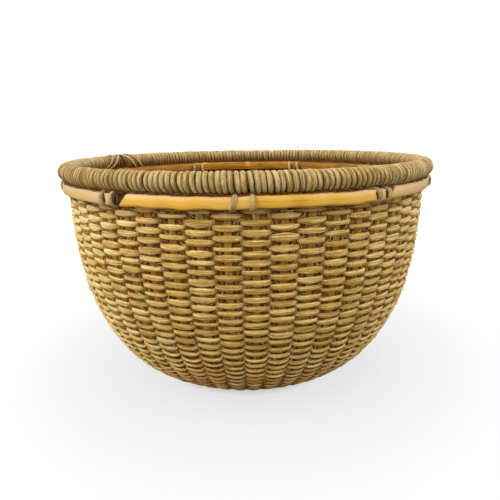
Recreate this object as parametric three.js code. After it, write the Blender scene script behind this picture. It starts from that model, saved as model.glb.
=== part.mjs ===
import * as THREE from 'three';

// Woven basket with a plaited base, a woven bowl wall, two lashed hoops and a wound rim roll.
// Millimetres, +Z up, resting on Z = 0, front towards -Y.

// Overall bowl
const HEIGHT = 167;
const WALL_TOP_RADIUS = 131;
const BASE_RADIUS = 52;
const BASE_SPREAD = 49;
const WALL_UPRIGHT = 89;

// Stakes: flat strips laid both ways across the base and turned up into the wall
const STRIPS_EACH_WAY = 13;
const STAKE_WIDTH = 4.2;
const STAKE_THICKNESS = 1.4;
const LAYER_RUN = 5;

// Weave: rings that stand for the strand outside and inside the stakes
const STRAND_THICKNESS = 1.4;
const BAND_COUNT = 5;
const BAND_GROWTH = 1.4;
const WEAVE_ARCH = 0.4;
const FIRST_ARCHED_BAND = 1;

// Hoops
const HOOP_HEIGHT = 6.6;
const OUTER_HOOP_THICKNESS = 6;
const INNER_HOOP_THICKNESS = 5;
const HOOP_FLAT_SHARE = 0.55;
const SCARF_GAP = 0.5;
const SCARF_SLOPE = 0.85;
const OUTER_SCARF_FACET = -4.5;
const INNER_SCARF_FACET = 4.5;

// Rim roll: a core ring wound with one strand
const ROLL_DIAMETER = 12.6;
const ROLL_OVERHANG = 3;
const CORE_SIDES = 6;
const WRAP_WIDTH = 2.6;
const WRAP_THICKNESS = 1.6;
const WRAP_PITCH = 3.25;
const WRAP_STEPS = 5;

// Tie of flat strand that leans over the rim roll from both sides of its joint
const JOINT_LASHING = -3;
const TIE_TURNS = 2;
const TIE_PITCH = 10;
const TIE_LEAN = 6;
const TIE_STEPS = 12;

// Lashings round both hoops
const LASHING_COUNT = 9;
const LASH_WIDTH = 2.6;
const LASH_THICKNESS = 1;

// Clearance between touching pieces
const FIT = 0.3;

// Derived sizes
const STAKE_COUNT = 4 * STRIPS_EACH_WAY;
const STEP = (2 * Math.PI) / STAKE_COUNT;
const PLAIT_TURN = ((STRIPS_EACH_WAY % 2) * STEP) / 2;
const FACET = 1 / Math.cos(STEP / 2);
const lashingAngle = (k) => Math.trunc((k * STAKE_COUNT) / LASHING_COUNT) * STEP;
const JOINT_ANGLE = lashingAngle(JOINT_LASHING);
const LAYER_LIFT = (STAKE_THICKNESS + FIT) / 2;
const BASE_MIDDLE_Z = STAKE_THICKNESS / 2 + LAYER_LIFT;
const LASH_ROOM = LASH_THICKNESS + 2 * FIT;
const ROLL_Z = HEIGHT - ROLL_DIAMETER / 2;
const ROLL_RADIUS = WALL_TOP_RADIUS + ROLL_OVERHANG;
const ROLL_BOTTOM_Z = HEIGHT - ROLL_DIAMETER;
const HOOP_TOP_Z = ROLL_BOTTOM_Z - LASH_ROOM;
const HOOP_BOTTOM_Z = HOOP_TOP_Z - HOOP_HEIGHT;
const WALL_TOP_Z = HOOP_BOTTOM_Z - LASH_ROOM;
const SKIN_GAP = STAKE_THICKNESS / 2 + FIT;
const WALL_START_Z = SKIN_GAP + STRAND_THICKNESS + FIT;
const WRAP_RADIUS = (ROLL_DIAMETER - WRAP_THICKNESS) / 2;
const WRAP_INSIDE = (WRAP_RADIUS - WRAP_THICKNESS / 2) * Math.cos(Math.PI / WRAP_STEPS);
const CORE_RADIUS = WRAP_INSIDE - FIT - ROLL_RADIUS * (1 - 1 / FACET);

// Materials
const material = (name, color) => new THREE.MeshStandardMaterial({ name, color, roughness: 0.75 });
const STAKE_CANE = material('stake_cane', '#8a6232');
const WEAVE_CANE = material('weave_cane', '#c39a5b');
const HOOP_CANE = material('hoop_cane', '#cf9a52');
const WRAP_CANE = material('wrap_cane', '#a58d66');
const CORE_FIBRE = material('core_fibre', '#5d432a');
const LASH_CANE = material('lash_cane', '#c9a468');

// Point on a circle about the basket's axis, angle zero at the front
const polar = (radius, angle, z) => new THREE.Vector3(radius * Math.sin(angle), -radius * Math.cos(angle), z);

// Closed body through equal sections, each wound counter-clockwise seen against the direction of travel,
// capped at both ends or joined from the last section to the first
function loft(sections, joined = false) {
  const count = sections[0].length;
  const positions = sections.flat().flatMap((p) => [p.x, p.y, p.z]);
  const faces = [];
  for (let i = 0; i < sections.length - (joined ? 0 : 1); i += 1) {
    const here = i * count;
    const there = ((i + 1) % sections.length) * count;
    for (let k = 0; k < count; k += 1) {
      const next = (k + 1) % count;
      faces.push(here + k, here + next, there + next, here + k, there + next, there + k);
    }
  }
  const last = (sections.length - 1) * count;
  for (let k = 1; !joined && k + 1 < count; k += 1) {
    faces.push(0, k + 1, k, last, last + k, last + k + 1);
  }
  const geometry = new THREE.BufferGeometry();
  geometry.setAttribute('position', new THREE.Float32BufferAttribute(positions, 3));
  geometry.setIndex(faces);
  geometry.computeVertexNormals();
  return geometry;
}

// Ring of revolution with one flat facet behind each stake, from a closed outline of radius and height
function ring(outline) {
  const points = [...outline, outline[0]].map(([radius, z]) => new THREE.Vector2(radius * FACET, z));
  return new THREE.LatheGeometry(points, STAKE_COUNT).rotateX(Math.PI / 2);
}

// Ring that arches over every stake and dips between them, from its outline at a stake and at a gap
function archedRing(atStake, atGap) {
  const sections = Array.from({ length: 2 * STAKE_COUNT }, (_, m) => {
    const overStake = m % 2 === 1;
    const outline = overStake ? atStake : atGap;
    return outline.map(([radius, z]) => polar(overStake ? radius : radius * FACET, (m * STEP) / 2, z));
  });
  return loft(sections, true);
}

// Unit direction across a line in the radius and height plane, pointing out of the bowl
const outward = (from, to) => new THREE.Vector2(to.y - from.y, from.x - to.x).normalize();

// Offset direction at every corner of a line, long enough to keep facets parallel
function mitres(line) {
  return line.map((point, i) => {
    const before = outward(line[Math.max(i - 1, 0)], line[Math.max(i, 1)]);
    const after = outward(line[Math.min(i, line.length - 2)], line[Math.min(i + 1, line.length - 1)]);
    return before.clone().add(after).divideScalar(1 + before.dot(after));
  });
}

const offsetLine = (line, distanceAt) => {
  const directions = mitres(line);
  return line.map((point, i) => point.clone().addScaledVector(directions[i], distanceAt(point)));
};

// Middle surface of the bowl from the flat base up to the hoops
const bowl = new THREE.CubicBezierCurve(
  new THREE.Vector2(BASE_RADIUS, WALL_START_Z),
  new THREE.Vector2(BASE_RADIUS + BASE_SPREAD, WALL_START_Z),
  new THREE.Vector2(WALL_TOP_RADIUS, WALL_TOP_Z - WALL_UPRIGHT),
  new THREE.Vector2(WALL_TOP_RADIUS, WALL_TOP_Z),
);

// Share of the bowl's length at which it reaches a radius
function shareAtRadius(radius) {
  let low = 0;
  let high = 1;
  for (let i = 0; i < 40; i += 1) {
    const middle = (low + high) / 2;
    if (bowl.getPointAt(middle).x < radius) low = middle;
    else high = middle;
  }
  return low;
}

const WEAVE_START = shareAtRadius(BASE_RADIUS + LAYER_RUN);
const wallLine = Array.from({ length: BAND_COUNT + 1 }, (_, k) => (
  bowl.getPointAt(WEAVE_START + (1 - WEAVE_START) * (k / BAND_COUNT) ** BAND_GROWTH)
));

// Through strip number j from the middle, running front to back in the lower or upper layer
function stake(j, layer) {
  const angle = j * STEP;
  const line = [
    new THREE.Vector2(BASE_RADIUS, BASE_MIDDLE_Z + layer * LAYER_LIFT),
    ...wallLine,
    new THREE.Vector2(WALL_TOP_RADIUS, HOOP_TOP_Z),
  ];
  const normals = mitres(line);
  normals[0].set(0, -1);
  const half = line.map((point, i) => {
    const turn = i === 0 ? angle / 2 : angle;
    const reach = STAKE_WIDTH / 2 / Math.cos(angle - turn);
    const middle = polar(point.x, angle, point.y);
    const side = new THREE.Vector3(Math.cos(turn), Math.sin(turn), 0).multiplyScalar(reach);
    const out = polar(normals[i].x, angle, normals[i].y).multiplyScalar(STAKE_THICKNESS / 2);
    return [
      middle.clone().sub(side).sub(out),
      middle.clone().add(side).sub(out),
      middle.clone().add(side).add(out),
      middle.clone().sub(side).add(out),
    ];
  });
  const mirrored = half.map((section) => section.map((p) => new THREE.Vector3(p.x, -p.y, p.z)));
  return loft([...half.reverse(), ...mirrored]);
}

// One ring of the weave between two corners of the wall line, outside or inside the stakes,
// the outer ones arched over the stakes with a slope that clears a stake's edges
function weaveBand(index, side) {
  const trim = FIT / 2 / wallLine[index].distanceTo(wallLine[index + 1]);
  const at = (line, share) => line[index].clone().lerp(line[index + 1], share).toArray();
  const outline = (liftAt) => {
    const near = offsetLine(wallLine, (point) => side * (SKIN_GAP + liftAt(point)));
    const far = offsetLine(wallLine, (point) => side * (SKIN_GAP + STRAND_THICKNESS + liftAt(point)));
    return [at(near, trim), at(far, trim), at(far, 1 - trim), at(near, 1 - trim)];
  };
  if (side > 0 && index >= FIRST_ARCHED_BAND) {
    const halfPitch = (point) => point.x * Math.tan(STEP / 2);
    const overStake = outline(() => WEAVE_ARCH);
    const atGap = outline((point) => WEAVE_ARCH * (1 - halfPitch(point) / (STAKE_WIDTH / 2)));
    return archedRing(overStake.reverse(), atGap.reverse());
  }
  const plain = outline(() => 0);
  return ring(side > 0 ? plain : plain.reverse());
}

// Point of a hoop, on the flat facet behind the nearest stake
function hoopPoint(radius, angle, z) {
  const facet = (Math.floor(angle / STEP) + 0.5) * STEP;
  return polar(radius / Math.cos(angle - facet), angle, z);
}

// Half-round hoop with a slanted joint, its flat face against the stakes
function hoop(flatRadius, roundRadius, scarfFacet) {
  const shoulder = flatRadius + (roundRadius - flatRadius) * HOOP_FLAT_SHARE;
  const quarter = HOOP_HEIGHT / 4;
  const outline = [
    [flatRadius, HOOP_BOTTOM_Z],
    [shoulder, HOOP_BOTTOM_Z],
    [roundRadius, HOOP_BOTTOM_Z + quarter],
    [roundRadius, HOOP_TOP_Z - quarter],
    [shoulder, HOOP_TOP_Z],
    [flatRadius, HOOP_TOP_Z],
  ];
  if (roundRadius > flatRadius) outline.reverse();
  const middleZ = (HOOP_BOTTOM_Z + HOOP_TOP_Z) / 2;
  const start = scarfFacet * STEP;
  const lean = (z) => (SCARF_SLOPE * (z - middleZ)) / flatRadius;
  const gap = SCARF_GAP / flatRadius;
  const slanted = (angle) => outline.map(([radius, z]) => hoopPoint(radius, angle + lean(z), z));
  const sections = [slanted(start + gap)];
  for (let k = Math.ceil(scarfFacet); k < scarfFacet + STAKE_COUNT; k += 1) {
    sections.push(outline.map(([radius, z]) => polar(radius * FACET, k * STEP, z)));
  }
  sections.push(slanted(start + 2 * Math.PI - gap));
  return loft(sections);
}

// Sections of a strand wound on the rim roll, from its corners, its turns and its run along the roll
function woundSections(corners, turns, steps, runAt) {
  return Array.from({ length: turns * steps + 1 }, (_, i) => {
    const around = -Math.PI / 2 + (i * 2 * Math.PI) / steps;
    const run = runAt(i / steps, around);
    return corners.map(([reach, along]) => polar(
      ROLL_RADIUS + reach * Math.cos(around),
      JOINT_ANGLE + (run + along) / ROLL_RADIUS,
      ROLL_Z + reach * Math.sin(around),
    ));
  });
}

// Least distance between points of one strand that lie at least one turn apart, up to two turns
function leastSelfGap(sections, steps) {
  let least = Infinity;
  sections.forEach((section, i) => {
    const later = sections.slice(i + steps - 1, i + 2 * steps).flat();
    section.forEach((p) => later.forEach((q) => {
      least = Math.min(least, p.distanceTo(q));
    }));
  });
  return least;
}

// Ridged strand that winds the whole roll, both ends under the tie
function rimWrap() {
  const inside = WRAP_RADIUS - WRAP_THICKNESS / 2;
  const outside = WRAP_RADIUS + WRAP_THICKNESS / 2;
  const corners = [[inside, WRAP_WIDTH / 2], [inside, -WRAP_WIDTH / 2], [outside, 0]];
  const length = 2 * Math.PI * ROLL_RADIUS - WRAP_PITCH;
  const turns = Math.floor(length / WRAP_PITCH);
  const sections = woundSections(corners, turns, WRAP_STEPS, (turn) => (turn * length) / turns);
  const gap = leastSelfGap(sections, WRAP_STEPS).toFixed(2);
  console.log(`rim_wrap: ${turns} turns, least gap to itself ${gap} mm`);
  return loft(sections);
}

// Turns that lean towards the joint over the roll, on one side of it
function jointTie(side) {
  const inside = (ROLL_DIAMETER / 2 + FIT) / Math.cos(Math.PI / TIE_STEPS);
  const outside = inside + LASH_THICKNESS;
  const edge = LASH_WIDTH / 2;
  const corners = [[inside, edge], [inside, -edge], [outside, -edge], [outside, edge]];
  const first = side * (edge + FIT + TIE_LEAN);
  const advance = (side * TIE_PITCH * (TIE_TURNS - 1)) / TIE_TURNS;
  const sections = woundSections(corners, TIE_TURNS, TIE_STEPS, (turn, around) => (
    first + turn * advance - side * TIE_LEAN * Math.sin(around)
  ));
  console.log(`joint tie: least gap to itself ${leastSelfGap(sections, TIE_STEPS).toFixed(2)} mm`);
  return loft(sections);
}

// Flat strand that goes twice round both hoops, between two stakes
function lashing(centre) {
  const outerRadius = (WALL_TOP_RADIUS + SKIN_GAP + OUTER_HOOP_THICKNESS) * FACET + FIT + LASH_THICKNESS / 2;
  const innerRadius = WALL_TOP_RADIUS - SKIN_GAP - INNER_HOOP_THICKNESS - FIT - LASH_THICKNESS / 2;
  const topZ = HOOP_TOP_Z + FIT + LASH_THICKNESS / 2;
  const bottomZ = HOOP_BOTTOM_Z - FIT - LASH_THICKNESS / 2;
  const clear = STAKE_WIDTH / 2 + FIT + LASH_WIDTH / 2;
  const beside = STEP / 2 - clear / innerRadius;
  const endZ = (topZ + bottomZ) / 2;
  const corners = [
    [innerRadius, -beside, topZ, 1, 1],
    [outerRadius, -beside, topZ, 1, 1],
    [outerRadius, -beside, bottomZ, 1, -1],
    [innerRadius, -beside, bottomZ, -1, -1],
    [innerRadius, beside, topZ, -1, 1],
    [outerRadius, beside, topZ, 1, 1],
    [outerRadius, beside, bottomZ, 1, -1],
    [innerRadius, beside, bottomZ, -1, -1],
    [innerRadius, beside, endZ, -1, 0],
  ];
  corners[0][3] = 0;
  const half = LASH_THICKNESS / 2;
  const width = LASH_WIDTH / 2 / WALL_TOP_RADIUS;
  const sections = corners.map(([radius, angle, z, outR, outZ]) => {
    const at = (sign, edge) => polar(
      radius + sign * outR * half,
      centre + angle + edge * width,
      z + sign * outZ * half,
    );
    return [at(-1, -1), at(-1, 1), at(1, 1), at(1, -1)];
  });
  return loft(sections);
}

const basket = new THREE.Group();
basket.name = 'woven_basket';
const add = (name, geometry, surface, turn = 0) => {
  const mesh = new THREE.Mesh(geometry, surface);
  mesh.name = name;
  mesh.rotation.z = turn;
  basket.add(mesh);
};
const numbered = (stem, number) => `${stem}_${String(number).padStart(2, '0')}`;

for (let i = 0; i < STRIPS_EACH_WAY; i += 1) {
  const j = i - (STRIPS_EACH_WAY - 1) / 2;
  add(numbered('stake', i + 1), stake(j, -1), STAKE_CANE, PLAIT_TURN);
  add(numbered('stake', i + 1 + STRIPS_EACH_WAY), stake(j, 1), STAKE_CANE, PLAIT_TURN + Math.PI / 2);
}
for (let k = 0; k < BAND_COUNT; k += 1) {
  add(`outer_weave_${k + 1}`, weaveBand(k, 1), WEAVE_CANE);
  add(`inner_weave_${k + 1}`, weaveBand(k, -1), WEAVE_CANE);
}

const outerFlat = WALL_TOP_RADIUS + SKIN_GAP;
const innerFlat = WALL_TOP_RADIUS - SKIN_GAP;
add('outer_hoop', hoop(outerFlat, outerFlat + OUTER_HOOP_THICKNESS, OUTER_SCARF_FACET), HOOP_CANE);
add('inner_hoop', hoop(innerFlat, innerFlat - INNER_HOOP_THICKNESS, INNER_SCARF_FACET), HOOP_CANE);

const coreOutline = Array.from({ length: CORE_SIDES }, (_, k) => {
  const around = (k * 2 * Math.PI) / CORE_SIDES;
  return [ROLL_RADIUS / FACET + CORE_RADIUS * Math.cos(around), ROLL_Z + CORE_RADIUS * Math.sin(around)];
});
add('rim_core', ring(coreOutline), CORE_FIBRE);
add('rim_wrap', rimWrap(), WRAP_CANE);
add('joint_tie_left', jointTie(-1), LASH_CANE);
add('joint_tie_right', jointTie(1), LASH_CANE);

const lashSide = (LASHING_COUNT - 1) / 2;
for (let k = 0; k < LASHING_COUNT; k += 1) {
  add(`lashing_${k + 1}`, lashing(lashingAngle(k - lashSide)), LASH_CANE);
}

export default basket;
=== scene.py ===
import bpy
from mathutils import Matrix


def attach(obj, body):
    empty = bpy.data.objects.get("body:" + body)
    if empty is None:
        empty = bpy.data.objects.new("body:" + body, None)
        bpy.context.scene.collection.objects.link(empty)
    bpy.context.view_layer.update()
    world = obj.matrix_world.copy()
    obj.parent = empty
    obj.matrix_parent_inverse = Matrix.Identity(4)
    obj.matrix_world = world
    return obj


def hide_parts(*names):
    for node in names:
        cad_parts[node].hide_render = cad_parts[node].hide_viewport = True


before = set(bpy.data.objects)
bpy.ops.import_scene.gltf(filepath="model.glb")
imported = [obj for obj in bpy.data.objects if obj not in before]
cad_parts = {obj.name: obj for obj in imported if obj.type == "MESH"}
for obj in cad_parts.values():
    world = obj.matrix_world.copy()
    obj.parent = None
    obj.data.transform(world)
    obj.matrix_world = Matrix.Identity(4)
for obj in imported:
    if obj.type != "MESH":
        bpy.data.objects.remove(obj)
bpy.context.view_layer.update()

import math

import bpy
import numpy as np
from mathutils import Matrix, Vector

# Metres in a millimetre: sizes are in millimetres, and angles start at the front and grow towards +X
MM = 0.001
FULL_TURN = 2 * math.pi

# Sizes that are the same as the part's own
BASE_RADIUS = 52.0
BASE_SPREAD = 49.0
BASE_MIDDLE_Z = 1.55
WALL_TOP_RADIUS = 131.0
WALL_TOP_Z = 144.6
WALL_UPRIGHT = 89.0
WALL_START_Z = 2.7
STRIPS_EACH_WAY = 13
STAKE_COUNT = 52
STEP = FULL_TURN / STAKE_COUNT
PLAIT_TURN = STEP / 2
BAND_COUNT = 5
BAND_GROWTH = 1.4
HOOP_BOTTOM_Z = 146.2
HOOP_TOP_Z = 152.8
OUTER_HOOP = (132.0, 138.0)
INNER_HOOP = (130.0, 125.0)
SCARF_FACET = 4.5
ROLL_RADIUS = 134.0
ROLL_Z = 160.7
ROLL_HALF = 6.3
LASHING_COUNT = 9
JOINT_LASHING = -3

# Straight up
ZENITH = np.array([[0.0, 0.0, 1.0]])

rng = np.random.default_rng(7)


def polar(radius, angle, z):
    """Points at an angle from the front, positive towards +X."""
    radius, angle, z = np.broadcast_arrays(radius, angle, z)
    return np.stack([radius * np.sin(angle), -radius * np.cos(angle), z], -1).astype(float)


def unit(vectors):
    return vectors / np.maximum(np.linalg.norm(vectors, axis=-1, keepdims=True), 1e-12)


def around(samples):
    """Evenly spaced angles of a closed ring."""
    return np.arange(samples) * FULL_TURN / samples


def wrapped(angle):
    """The same angle, within half a turn of the front."""
    return (angle + math.pi) % FULL_TURN - math.pi


def held(values):
    """Values kept between nothing and one."""
    return np.clip(values, 0, 1)


def hump(away, width):
    """One in the middle, and softly less over a width away from it."""
    return np.exp(-(away / width) ** 2)


def eased(wave):
    """A wave with broader tops and quicker crossings."""
    return wave * (1.5 - 0.5 * wave * wave)


def powered(values, power):
    """Values raised to a power, each with its own sign."""
    return np.sign(values) * np.abs(values) ** power


def bent(share, ends):
    """Values on a curve from the first of three to the last, drawn towards the second."""
    return (1 - share) ** 2 * ends[0] + 2 * share * (1 - share) * ends[1] + share ** 2 * ends[2]


def between(values, at):
    """Smooth values of a closed list at fractional places."""
    low = np.floor(at).astype(int)
    share = at - low
    share = share * share * (3 - 2 * share)
    count = len(values)
    return values[low % count] * (1 - share) + values[(low + 1) % count] * share


def wander(count, size, knots):
    """Soft random closed curve of about a size, through a number of knots, over a number of samples."""
    return size * between(rng.normal(0, 1, knots), np.arange(count) * knots / count)


# Middle surface of the bowl, from the edge of the flat base up to the roll
def bowl_line(samples=2000):
    t = np.linspace(0, 1, samples)[:, None]
    handles = np.array([
        [BASE_RADIUS, WALL_START_Z],
        [BASE_RADIUS + BASE_SPREAD, WALL_START_Z],
        [WALL_TOP_RADIUS, WALL_TOP_Z - WALL_UPRIGHT],
        [WALL_TOP_RADIUS, WALL_TOP_Z],
    ])
    weights = np.hstack([(1 - t) ** 3, 3 * t * (1 - t) ** 2, 3 * t * t * (1 - t), t ** 3])
    line = np.vstack([weights @ handles, [[WALL_TOP_RADIUS, ROLL_Z]]])
    steps = np.linalg.norm(np.diff(line, axis=0), axis=1)
    return np.concatenate([[0], np.cumsum(steps)]), line


BOWL_LENGTH, BOWL_LINE = bowl_line()
WALL_LENGTH = BOWL_LENGTH[-2]


def bowl_at(length):
    """Radius and height of the middle surface at a length from the base's edge."""
    return np.interp(length, BOWL_LENGTH, BOWL_LINE[:, 0]), np.interp(length, BOWL_LENGTH, BOWL_LINE[:, 1])


def bowl_rise(length):
    """Unit direction up the middle surface, as radius and height."""
    reach = 0.5
    (r0, z0), (r1, z1) = bowl_at(length - reach), bowl_at(length + reach)
    rise = unit(np.stack([r1 - r0, z1 - z0], -1))
    return rise[..., 0], rise[..., 1]


# Swept strands: where the grain of each may start, and its cell of the map with a margin
GRAIN_START = 5000
CELL_SHARE = 0.94
CELL_MARGIN = 0.03
CAP_CELL = [[0, 0], [0, 0.01], [0.01, 0.01], [0.01, 0]]


class Strands:
    """Collects swept strands into one mesh, with grain, tint, and wear together with painted shade, on every
    point.
    """

    def __init__(self):
        self.points, self.faces, self.cells, self.cell_of = [], [], [], []
        self.grain, self.tint, self.wear, self.smooth = [], [], [], []
        self.count = 0
        self.strands = 0

    def add(self, path, across, width, thickness, tint, wear=0.0, sides=8, closed=False,
            section=None, rough=0.0, shear=None, cell=None):
        """Sweeps an oval, or a section given in half widths and half thicknesses, down a path."""
        n = len(path)
        if closed:
            ahead = np.roll(path, -1, 0) - np.roll(path, 1, 0)
        else:
            ahead = np.gradient(path, axis=0)
        ahead = unit(ahead)
        across = np.broadcast_to(across, path.shape)
        across = unit(across - (across * ahead).sum(-1, keepdims=True) * ahead)
        out = np.cross(ahead, across)
        if section is None:
            turn = around(sides)
            section = np.stack([np.cos(turn), np.sin(turn)], -1)
        sides = len(section)
        half_width = np.broadcast_to(np.asarray(width, float) / 2, (n,))[:, None]
        half_depth = np.broadcast_to(np.asarray(thickness, float) / 2, (n,))[:, None]
        swell = 1 + rough * rng.normal(0, 1, (n, sides))
        wide = half_width * section[:, 0] * swell
        deep = half_depth * section[:, 1] * swell
        ring = path[:, None, :] + wide[..., None] * across[:, None, :] + deep[..., None] * out[:, None, :]
        if shear is not None:
            ring = ring + (shear[:, :1] * wide + shear[:, 1:] * deep)[..., None] * ahead[:, None, :]
        steps = np.linalg.norm(np.diff(path, axis=0), axis=1)
        length = np.concatenate([[0], np.cumsum(steps)])[:, None] + rng.uniform(0, GRAIN_START)
        self.grain.append(np.stack([length + 0 * wide, wide, deep], -1).reshape(-1, 3))
        self.points.append(ring.reshape(-1, 3))
        for values, kept in ((tint, self.tint), (wear, self.wear)):
            values = np.asarray(values, float)
            if values.ndim < 2:
                values = np.broadcast_to(values, (n,))[:, None]
            kept.append(np.broadcast_to(values, (n, sides)).reshape(-1))
        along = n if closed else n - 1
        i = np.arange(along)[:, None]
        k = np.arange(sides)[None, :]
        here, there = self.count + i * sides, self.count + (i + 1) % n * sides
        following = (k + 1) % sides
        faces = np.stack([here + k, here + following, there + following, there + k], -1).reshape(-1, 4)
        u = np.stack([i + 0 * k, i + 0 * k, i + 1 + 0 * k, i + 1 + 0 * k], -1).reshape(-1, 4) / along
        v = np.stack([k + 0 * i, k + 1 + 0 * i, k + 1 + 0 * i, k + 0 * i], -1).reshape(-1, 4) / sides
        cells = np.stack([u, v], -1)
        self.smooth.append(np.ones(len(faces), bool))
        if not closed:
            last = self.count + (n - 1) * sides
            ends = []
            for m in range(sides // 2 - 1):
                quad = [m, m + 1, sides - 2 - m, sides - 1 - m]
                ends.append([self.count + q for q in quad[::-1]])
                ends.append([last + q for q in quad])
            faces = np.concatenate([faces, ends])
            self.smooth.append(np.zeros(len(ends), bool))
            cells = np.concatenate([cells, np.broadcast_to(CAP_CELL, (len(ends), 4, 2))])
        self.faces.append(faces)
        self.cells.append(cells)
        self.cell_of.append(self.strands if cell is None else cell)
        self.strands = self.cell_of[-1] + 1
        self.count += n * sides

    def build(self, name, material, nodes, slot, columns=1):
        """Makes the piece, lays every strand in its own cell of the map, and rides it on the basket."""
        points, faces = np.concatenate(self.points) * MM, np.concatenate(self.faces)
        mesh = bpy.data.meshes.new(name)
        mesh.vertices.add(len(points))
        mesh.vertices.foreach_set("co", points.ravel())
        mesh.loops.add(faces.size)
        mesh.loops.foreach_set("vertex_index", faces.ravel().astype(np.int32))
        mesh.polygons.add(len(faces))
        mesh.polygons.foreach_set("loop_start", (np.arange(len(faces)) * 4).astype(np.int32))
        mesh.polygons.foreach_set("use_smooth", np.concatenate(self.smooth))
        mesh.update(calc_edges=True)
        rows = math.ceil((max(self.cell_of) + 1) / columns)
        placed = []
        for index, cell in zip(self.cell_of, self.cells):
            corner = np.array([index % columns, index // columns])
            spot = (cell * CELL_SHARE + CELL_MARGIN + corner) / np.array([columns, rows])
            placed.append(spot.reshape(-1, 2))
        layer = mesh.uv_layers.new(name="OFBake")
        layer.data.foreach_set("uv", np.concatenate(placed).ravel().astype(np.float32))
        # The wear attribute holds real wear and painted shade alike; the material mixes its darker colour in
        # by it
        for title, kind, field, values in (
            ("grain", "FLOAT_VECTOR", "vector", self.grain),
            ("tint", "FLOAT", "value", self.tint),
            ("wear", "FLOAT", "value", self.wear),
        ):
            attribute = mesh.attributes.new(title, kind, "POINT")
            attribute.data.foreach_set(field, np.concatenate(values).ravel().astype(np.float32))
        mesh.materials.append(material)
        piece = bpy.data.objects.new(name, mesh)
        bpy.context.scene.collection.objects.link(piece)
        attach(piece, "root")
        if nodes:
            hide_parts(*nodes)
        return piece


# Materials: the noise's detail and roughness, and its scale along and across the grain. The fine fibres'
# scale is a multiple of the streaks'
STREAK_NOISE = (3.0, 0.6)
FINE_NOISE = (2.0, 0.6)
FINE_SCALE = (5, 4)
PATCH_NOISE = (2.0, 0.5)
PATCH_SCALE = (0.09, 0.25)
# How the patch noise spreads the darker colour, which stands for dirt and for painted shade
DIRT_AND_SHADE_PATCH = 0.55
FINE_RELIEF = 0.5


def rgb(code):
    """Linear colour from six hexadecimal digits."""
    parts = [int(code[i:i + 2], 16) / 255 for i in (0, 2, 4)]
    return [p / 12.92 if p <= 0.04045 else ((p + 0.055) / 1.055) ** 2.4 for p in parts] + [1.0]


def cane(name, colours, dirt_and_shade, tint_share=0.6, streak_share=1.3, fine_share=0.8, roughness=(0.5, 0.75),
         bump=0.6, depth=0.4, fibre=(0.03, 1.3), specular=0.3, patch_share=0.8):
    """Dry plant strand: long streaks and fine fibres along the grain, tint from strand to strand, and a
    darker colour mixed in by wear and painted shade, so it stands for dirt and for painted shade.
    """
    material = bpy.data.materials.new(name)
    material.use_nodes = True
    tree = material.node_tree
    tree.nodes.clear()

    def node(kind, **values):
        made = tree.nodes.new(kind)
        for key, value in values.items():
            if key in made.inputs:
                made.inputs[key].default_value = value
            else:
                setattr(made, key, value)
        return made

    def link(a, b):
        tree.links.new(a, b)

    def maths(operation, a, b, clamp=False):
        made = node("ShaderNodeMath", operation=operation, use_clamp=clamp)
        for socket, value in zip(made.inputs, (a, b)):
            if isinstance(value, (int, float)):
                socket.default_value = value
            else:
                link(value, socket)
        return made.outputs[0]

    grain = node("ShaderNodeAttribute", attribute_name="grain").outputs["Vector"]
    tint = node("ShaderNodeAttribute", attribute_name="tint").outputs["Fac"]
    wear = node("ShaderNodeAttribute", attribute_name="wear").outputs["Fac"]

    def fibres(along, across, detail, roughness_of):
        scale = node("ShaderNodeVectorMath", operation="MULTIPLY")
        scale.inputs[1].default_value = (along, across, across)
        link(grain, scale.inputs[0])
        noise = node("ShaderNodeTexNoise", Scale=1.0, Detail=detail, Roughness=roughness_of)
        link(scale.outputs[0], noise.inputs["Vector"])
        return noise.outputs["Fac"]

    streak = fibres(*fibre, *STREAK_NOISE)
    fine = fibres(fibre[0] * FINE_SCALE[0], fibre[1] * FINE_SCALE[1], *FINE_NOISE)
    patch = fibres(*PATCH_SCALE, *PATCH_NOISE)
    place = maths("MULTIPLY_ADD", tint, tint_share)
    place.node.inputs[2].default_value = 0.5 - tint_share / 2
    for wave, share in ((streak, streak_share), (fine, fine_share), (patch, patch_share)):
        swing = maths("MULTIPLY", maths("SUBTRACT", wave, 0.5), share)
        place = maths("ADD", place, swing)
    ramp = node("ShaderNodeValToRGB")
    ramp.color_ramp.elements[0].position = 0.0
    ramp.color_ramp.elements[1].position = 1.0
    for index, colour in enumerate(colours):
        if index == 0:
            stop = ramp.color_ramp.elements[0]
        elif index == len(colours) - 1:
            stop = ramp.color_ramp.elements[-1]
        else:
            stop = ramp.color_ramp.elements.new(index / (len(colours) - 1))
        stop.color = rgb(colour)
    link(place, ramp.inputs["Fac"])
    # Darker colour mixed in by wear and painted shade: dirt in some places, painted shade in others
    dirt_and_shade_mix = node("ShaderNodeMix", data_type="RGBA", blend_type="MIX")
    dirt_and_shade_mix.inputs["B"].default_value = rgb(dirt_and_shade)
    spread = maths("MULTIPLY", wear, maths("ADD", patch, DIRT_AND_SHADE_PATCH), True)
    link(spread, dirt_and_shade_mix.inputs["Factor"])
    link(ramp.outputs["Color"], dirt_and_shade_mix.inputs["A"])
    shader = node("ShaderNodeBsdfPrincipled")
    shader.inputs["Specular IOR Level"].default_value = specular
    link(dirt_and_shade_mix.outputs["Result"], shader.inputs["Base Color"])
    gloss = node("ShaderNodeMapRange")
    gloss.inputs["To Min"].default_value, gloss.inputs["To Max"].default_value = roughness
    link(fine, gloss.inputs["Value"])
    link(gloss.outputs["Result"], shader.inputs["Roughness"])
    relief = node("ShaderNodeBump", Strength=bump, Distance=depth * MM)
    link(maths("ADD", streak, maths("MULTIPLY", fine, FINE_RELIEF)), relief.inputs["Height"])
    link(relief.outputs["Normal"], shader.inputs["Normal"])
    output = node("ShaderNodeOutputMaterial")
    link(shader.outputs["BSDF"], output.inputs["Surface"])
    return material


# The colour after each list is the darker one, used for dirt and for painted shade
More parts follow.
